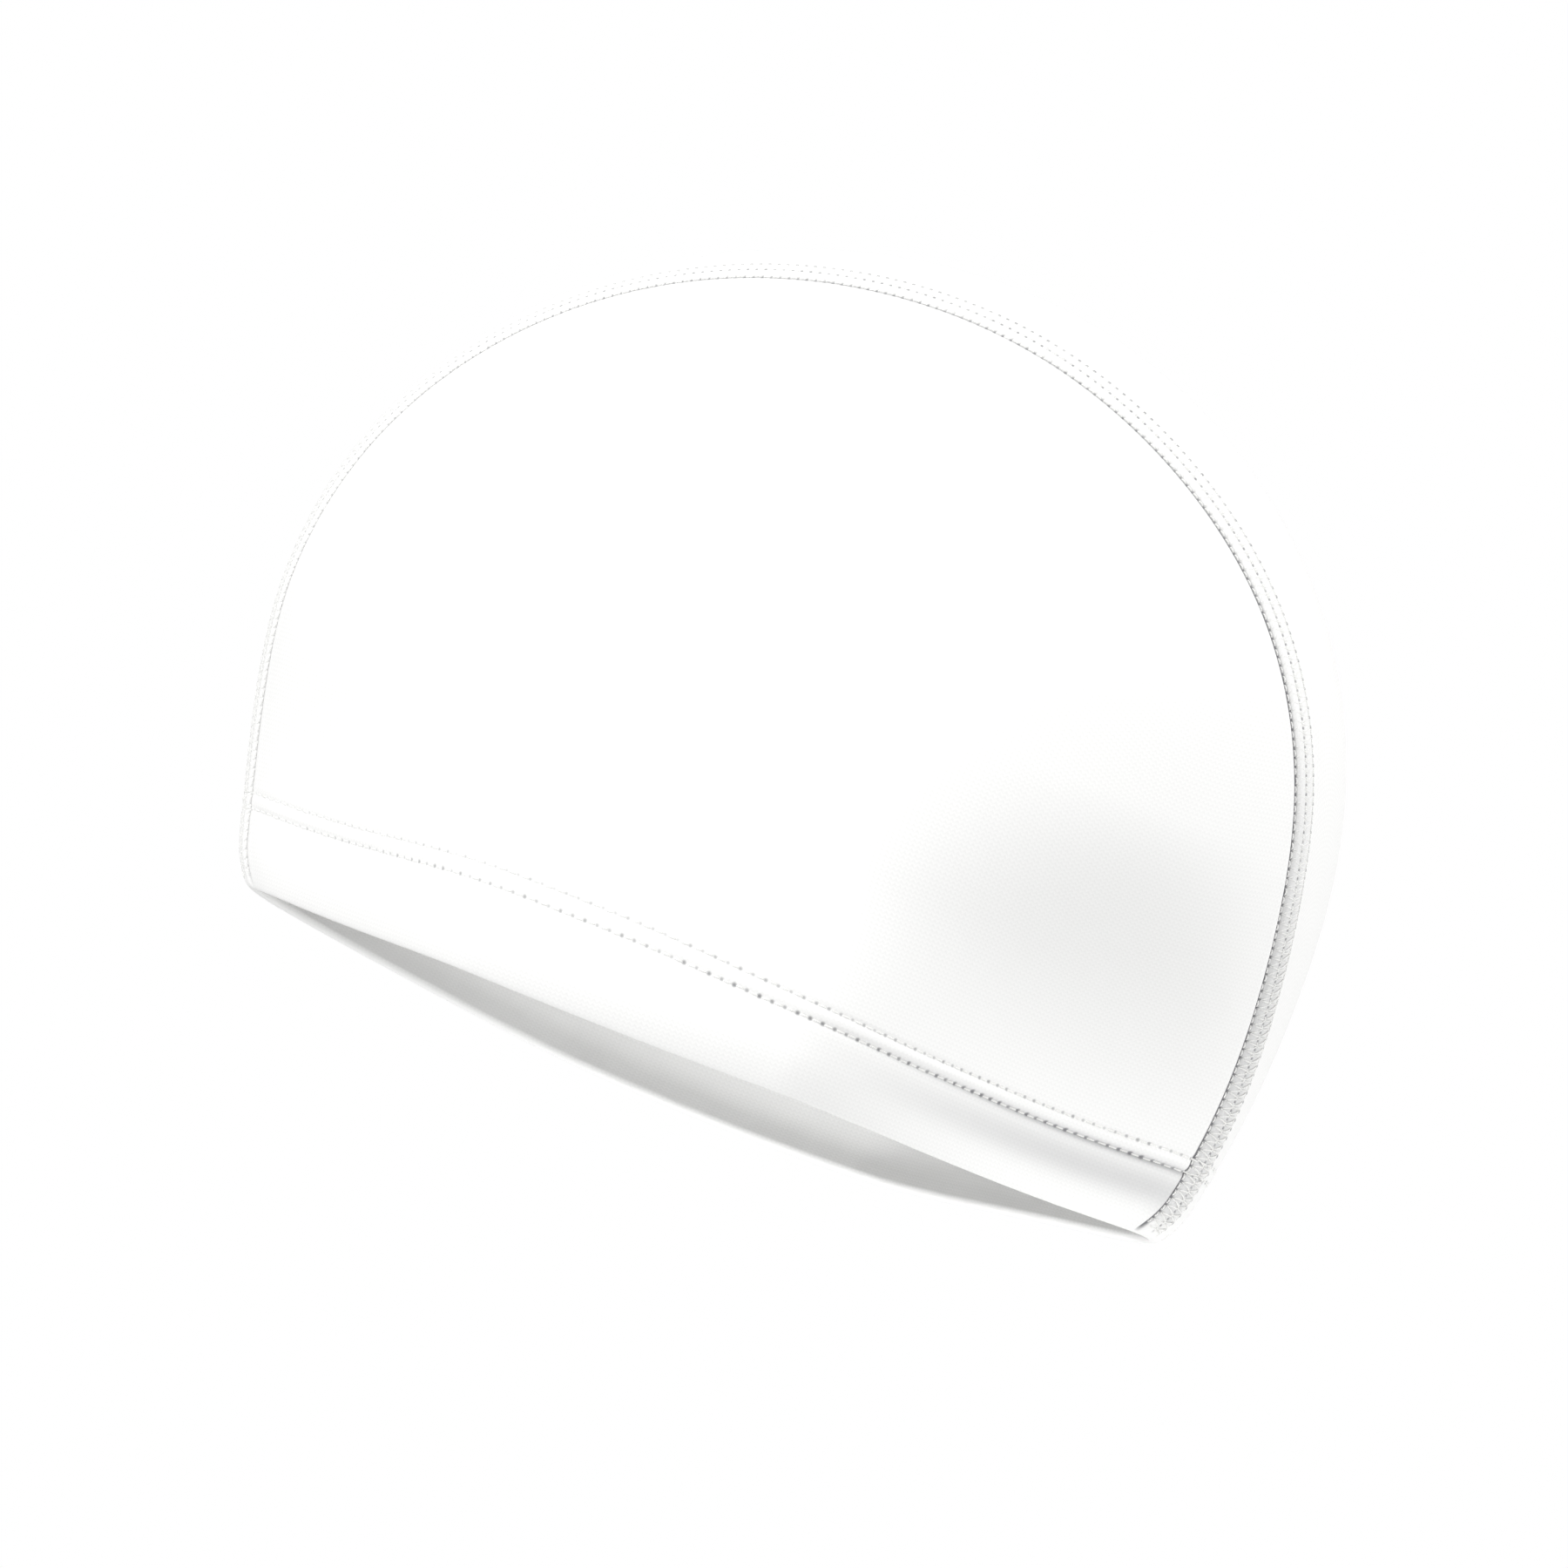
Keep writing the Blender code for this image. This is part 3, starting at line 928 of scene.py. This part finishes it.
# warp-knitted polyester with elastane: dead white, soft and dull, with a faint sheen at grazing light
# stretches are shares of the seam's length, counted from the forehead
knit = {
    "color": "#F5F5F4",
    "gapColor": "#EEEEED",        # painted shade in the hollows between the loops
    "pitShadeColor": "#8E8E90",        # painted shade where a needle thread goes in
    "paintedShadeColor": "#7C7C80",      # painted shade deep in the seam, in the crease under the tunnel, on the band below it and between the flatlock's threads
    "roughness": 0.85,
    "sheen": 0.15,
    "sheenRoughness": 0.5,
    "ior": 1.5,
    "wale": 1.1,                  # mm between columns of loops, drawn coarser than the real 0.7
    "course": 0.9,                # mm between rows of loops, drawn coarser than the real 0.5
    "loopSlant": 0.9,             # how steeply the halves of a loop's V lean
    "waleRise": 2.2,              # how much a column of loops swells, against its loops
    "pitRadius": 0.64,            # mm
    "pitCore": 0.10,              # mm of it that are wholly in painted shade and at full depth
    "pitShade": 0.90,             # how dark the painted shade in the hem's pits gets
    "pitDepth": 4.0,              # against the loops
    "ditchReach": (0.15, 0.75),   # mm beside the seam: painted shade whole up to the first, faded at the second
    "ditchShades": (0.28, 0.95),  # strength of the painted ditch shade at the front, and from the back of the head down
    "ditchStretch": (0.54, 0.78),
    "rowShade": 0.26,             # painted shade between the flatlock's threads at the nape
    "rowStretch": (0.72, 0.86),
    "bump": 0.22,
    "bumpHeight": 0.06 * mm,
}


def knitMaterial(name, seamReach):
    # seamReach: how far from the seam its needle pits and their shade go, in mm
    material, tree, surface = newMaterial(name, knit)
    surface.inputs["Sheen Roughness"].default_value = knit["sheenRoughness"]
    keys = ("stitchPull", "hemRun", "hemHeight", "seamRun", "seamDistance", "paintedCreaseShade", "outside")
    marks = [addNode(tree, "Attribute", {"attribute_name": key}).outputs["Fac"] for key in keys]
    pull, hemRun, hemHeight, seamRun, fromSeam, paintedCreaseShade, outside = marks

    # loops: columns side by side, each loop a small V
    place = addNode(tree, "UVMap", {"uv_map": "clothPlace"})
    split = addNode(tree, "SeparateXYZ", None, {0: place})
    ridge = addNode(tree, "Math", toAndFro, {0: split.outputs[0], 1: knit["wale"] / 2})
    slope = addNode(tree, "Math", timesPlus, {0: ridge, 1: knit["loopSlant"], 2: split.outputs[1]})
    course = addNode(tree, "Math", times, {0: slope, 1: 2 * math.pi / knit["course"]})
    loop = addNode(tree, "Math", sine, {0: course})
    raised = addNode(tree, "Math", timesPlus, {0: ridge, 1: knit["waleRise"], 2: loop})
    loops = addNode(tree, "MapRange", None, {0: raised, 1: -1.0, 2: 2.2, 3: 0.0, 4: 1.0})

    # needle pits along the hem's two rows, wider where the stitch pulls more
    hemStep = addNode(tree, "Math", toAndFro, {0: hemRun, 1: hemPitch / mm / 2})
    fromMiddle = addNode(tree, "Math", minus, {0: hemHeight, 1: hemMiddle / mm})
    middleAway = addNode(tree, "Math", {"operation": "ABSOLUTE"}, {0: fromMiddle})
    halfSpacing = (hem["upperRow"] - hem["lowerRow"]) / 2 / mm
    fromRow = addNode(tree, "Math", minus, {0: middleAway, 1: halfSpacing})
    hemHole = addNode(tree, "CombineXYZ", None, {0: hemStep, 1: fromRow})
    hemAway = addNode(tree, "VectorMath", length, {0: hemHole}).outputs["Value"]
    hemReach = addNode(tree, "Math", timesPlus, {0: pull, 1: 0.60, 2: 0.55})
    hemShare = addNode(tree, "Math", {"operation": "DIVIDE"}, {0: hemAway, 1: hemReach})
    hemPit = addNode(tree, "MapRange", softly, {
        0: hemShare, 1: knit["pitCore"], 2: knit["pitRadius"], 3: knit["pitShade"], 4: 0.0})

    # needle pits along the flatlock's rows, a little smaller
    halfSpacing = flatlock["rowSpacing"] / mm / 2
    seamStep = addNode(tree, "Math", toAndFro, {0: seamRun, 1: seamPitch / mm / 2})
    rowStep = addNode(tree, "Math", toAndFro, {0: fromSeam, 1: halfSpacing})
    seamHole = addNode(tree, "CombineXYZ", None, {0: seamStep, 1: rowStep})
    holeAway = addNode(tree, "VectorMath", length, {0: seamHole}).outputs["Value"]
    seamDot = addNode(tree, "MapRange", softly, {
        0: holeAway, 1: knit["pitCore"], 2: knit["pitRadius"] * 0.9, 3: 1.0, 4: 0.0})
    within = addNode(tree, "Math", {"operation": "LESS_THAN"}, {0: fromSeam, 1: seamReach})
    seamPit = addNode(tree, "Math", times, {0: seamDot, 1: within})
    # the pits get painted shade in the colour, and sink in the bump
    holes = addNode(tree, "Math", larger, {0: hemPit, 1: seamPit})
    pits = addNode(tree, "Math", times, {0: holes, 1: pull})

    # painted shade in the ditch between the panels, darkest from the back of the head down
    core, reach = knit["ditchReach"]
    ditch = addNode(tree, "MapRange", softly, {0: fromSeam, 1: core, 2: reach, 3: 1.0, 4: 0.0})
    start, end = [share * seamLength / mm for share in knit["ditchStretch"]]
    front, rear = knit["ditchShades"]
    backward = addNode(tree, "MapRange", softly, {0: seamRun, 1: start, 2: end, 3: front, 4: rear})
    ditchOut = addNode(tree, "Math", times, {0: ditch, 1: outside})
    ditchBack = addNode(tree, "Math", times, {0: ditchOut, 1: backward})

    # painted shade in the crease under the tunnel and on the band below it, which gathers towards the nape
    ditchShade = addNode(tree, "Math", larger, {0: ditchBack, 1: paintedCreaseShade})

    # towards the nape, but not at its edge, the cloth between the flatlock's threads lies in their shade
    start, end = [share * seamLength / mm for share in knit["rowStretch"]]
    napeward = addNode(tree, "MapRange", softly, {0: seamRun, 1: start, 2: end, 3: 0.0, 4: knit["rowShade"]})
    rowsFade = addNode(tree, "MapRange", softly, {
        0: fromSeam, 1: 0.45 * seamReach, 2: 0.95 * seamReach, 3: 1.0, 4: 0.0})
    endFade = addNode(tree, "MapRange", softly, {
        0: seamRun, 1: seamLength / mm - 8.0, 2: seamLength / mm - 4.0, 3: 1.0, 4: 0.0})
    fades = addNode(tree, "Math", times, {0: rowsFade, 1: endFade})
    between = addNode(tree, "Math", times, {0: napeward, 1: fades})
    shade = addNode(tree, "Math", larger, {0: ditchShade, 1: between})

    # the cloth's white, with painted shade between the loops, in the needle pits, in the seam's ditch, in
    # the crease and between the flatlock's threads
    color = linearColor(knit["gapColor"])
    for amount, over in ((loops, "color"), (pits, "pitShadeColor"), (shade, "paintedShadeColor")):
        color = addNode(tree, "Mix", ofColors, {0: amount, 6: color, 7: linearColor(knit[over])}).outputs[2]
    tree.links.new(color, surface.inputs["Base Color"])
    relief = addNode(tree, "Math", timesPlus, {0: pits, 1: -knit["pitDepth"], 2: loops})
    bumps = addNode(tree, "Bump", None, {
        "Strength": knit["bump"], "Distance": knit["bumpHeight"], "Height": relief})
    tree.links.new(bumps.outputs[0], surface.inputs["Normal"])
    return material


# spun polyester sewing thread: two plies with a slight twist, a little brighter at its ridges, with painted
# shade in the grooves between the plies
sewingThread = {
    "color": "#FAFAF8",
    "plyShade": "#E8E8E6",
    "roughness": 0.6,
    "sheen": 0.10,
    "ior": 1.5,
    "twist": 0.8,                 # mm for one turn of the plies
    "bump": 0.4,
    "bumpHeight": 0.05 * mm,
}


def threadMaterial():
    material, tree, surface = newMaterial("spunPolyesterThread", sewingThread)
    place = addNode(tree, "UVMap", {"uv_map": "threadPlace"})
    split = addNode(tree, "SeparateXYZ", None, {0: place})
    turned = addNode(tree, "Math", timesPlus, {
        0: split.outputs[0], 1: 1 / sewingThread["twist"], 2: split.outputs[1]})
    angle = addNode(tree, "Math", times, {0: turned, 1: 4 * math.pi})
    wave = addNode(tree, "Math", sine, {0: angle})
    ply = addNode(tree, "MapRange", None, {0: wave, 1: -1.0, 2: 1.0, 3: 0.0, 4: 1.0})
    # painted shade in the grooves between the plies
    color = addNode(tree, "Mix", ofColors, {
        0: ply, 6: linearColor(sewingThread["plyShade"]), 7: linearColor(sewingThread["color"])})
    bumps = addNode(tree, "Bump", None, {
        "Strength": sewingThread["bump"], "Distance": sewingThread["bumpHeight"], "Height": ply})
    tree.links.new(color.outputs[2], surface.inputs["Base Color"])
    tree.links.new(bumps.outputs[0], surface.inputs["Normal"])
    return material


sideKnit = knitMaterial("sideWarpKnit", 1.0)
centerKnit = knitMaterial("centerWarpKnit", flatlock["width"] / mm + 0.4)
for panel in sidePanels:
    panel.data.materials.append(sideKnit)
centerPanel.data.materials.append(centerKnit)
spunThread = threadMaterial()
for piece in threadPieces:
    piece.data.materials.append(spunThread)
print("materials made")


# white studio: the sky is pure white to the camera and softer as a light, so that the cap keeps its shading
studio = {
    "background": "#FFFFFF",
    "skyLight": 0.50,
    "floor": "#F0F0F0",
    "floorRoughness": 0.9,
    "floorHeight": -0.45,
    "floorSize": 60.0,
}

# soft boxes: where they hang from the cap, how far beside it they are aimed, size, power in watts and spread
SoftBox = namedtuple("SoftBox", "name direction distance aim size power spread")
softBoxes = [
    SoftBox("key", (0.80, -0.45, 0.50), 1.3, (0, 0, 0), 0.9, 9.0, 180),
    SoftBox("front", (0.35, -1.0, 0.10), 1.3, (0, 0, 0), 0.8, 2.3, 180),
    SoftBox("top", (0.05, 0.35, 1.0), 1.3, (0, 0, 0), 0.8, 1.8, 180),
    SoftBox("back", (-0.20, 1.0, 0.05), 1.3, (0, 0, 0), 0.8, 6.0, 180),
    SoftBox("side", (0.75, 0.55, 0.85), 1.3, (0, 0, 0), 0.8, 5.5, 180),
    SoftBox("inside", (0.45, 0.0, -1.0), 0.40, (-0.09, 0.015, -0.06), 0.10, 0.046, 44),
]


def makeStudio():
    world = bpy.data.worlds.new("studio")
    world.use_nodes = True
    tree = world.node_tree
    sky = tree.nodes["Background"]
    sky.inputs["Color"].default_value = linearColor(studio["background"])
    seen = addNode(tree, "LightPath").outputs["Is Camera Ray"]
    strength = addNode(tree, "Mix", None, {0: seen, 2: studio["skyLight"], 3: 1.0})
    tree.links.new(strength.outputs[0], sky.inputs["Strength"])
    bpy.context.scene.world = world
    bpy.context.scene.view_settings.view_transform = "Standard"
    half = studio["floorSize"] / 2
    corners = [(x * half, y * half, studio["floorHeight"]) for x, y in ((-1, -1), (1, -1), (1, 1), (-1, 1))]
    mesh = bpy.data.meshes.new("floor")
    mesh.from_pydata(corners, [], [(0, 1, 2, 3)])
    floor = addObject("floor", mesh)
    paint = bpy.data.materials.new("mattFloor")
    paint.use_nodes = True
    surface = paint.node_tree.nodes["Principled BSDF"]
    surface.inputs["Base Color"].default_value = linearColor(studio["floor"])
    surface.inputs["Roughness"].default_value = studio["floorRoughness"]
    mesh.materials.append(paint)
    target = Vector(cameraView["target"])
    for box in softBoxes:
        lamp = bpy.data.lights.new(box.name, "AREA")
        lamp.size = box.size
        lamp.energy = box.power
        lamp.spread = math.radians(box.spread)
        holder = addObject(box.name, lamp)
        holder.location = target + box.distance * Vector(box.direction).normalized()
        back = holder.location - target - Vector(box.aim)
        holder.rotation_euler = back.to_track_quat("Z", "Y").to_euler()
        holder.visible_camera = False


makeStudio()
print("studio lit")
